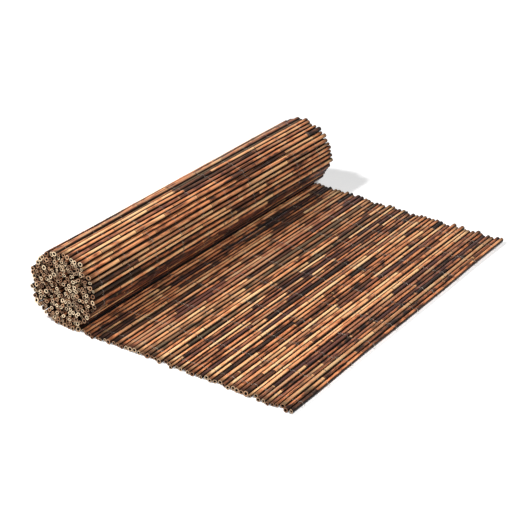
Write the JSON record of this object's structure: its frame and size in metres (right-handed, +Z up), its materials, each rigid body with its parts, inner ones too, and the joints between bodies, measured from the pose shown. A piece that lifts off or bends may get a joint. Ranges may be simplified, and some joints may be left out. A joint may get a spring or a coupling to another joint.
{
  "type": "reed screen",
  "caption": "Roll of garden reed screening, partly unrolled: reeds bound side by side by rows of thin wire, one end lying flat.",
  "frame": {"origin": "on the ground, in the middle of the footprint of the part-unrolled screen", "axes": "+X from the roll towards the free edge of the flat stretch, +Y along the reeds, +Z up"},
  "size_m": [0.6857, 1.0159, 0.1786],
  "materials": {
    "reed": "satin",
    "wire": "satin"
  },
  "bodies": {
    "root": {"reed_mat": "reed", "row_01_upper_wire": "wire", "row_01_lower_wire": "wire", "row_02_upper_wire": "wire", "row_02_lower_wire": "wire", "row_03_upper_wire": "wire", "row_03_lower_wire": "wire", "row_04_upper_wire": "wire", "row_04_lower_wire": "wire", "row_05_upper_wire": "wire", "row_05_lower_wire": "wire", "row_06_upper_wire": "wire", "row_06_lower_wire": "wire", "row_07_upper_wire": "wire", "row_07_lower_wire": "wire", "row_08_upper_wire": "wire", "row_08_lower_wire": "wire", "row_09_upper_wire": "wire", "row_09_lower_wire": "wire", "row_10_upper_wire": "wire", "row_10_lower_wire": "wire"}
  },
  "joints": []
}
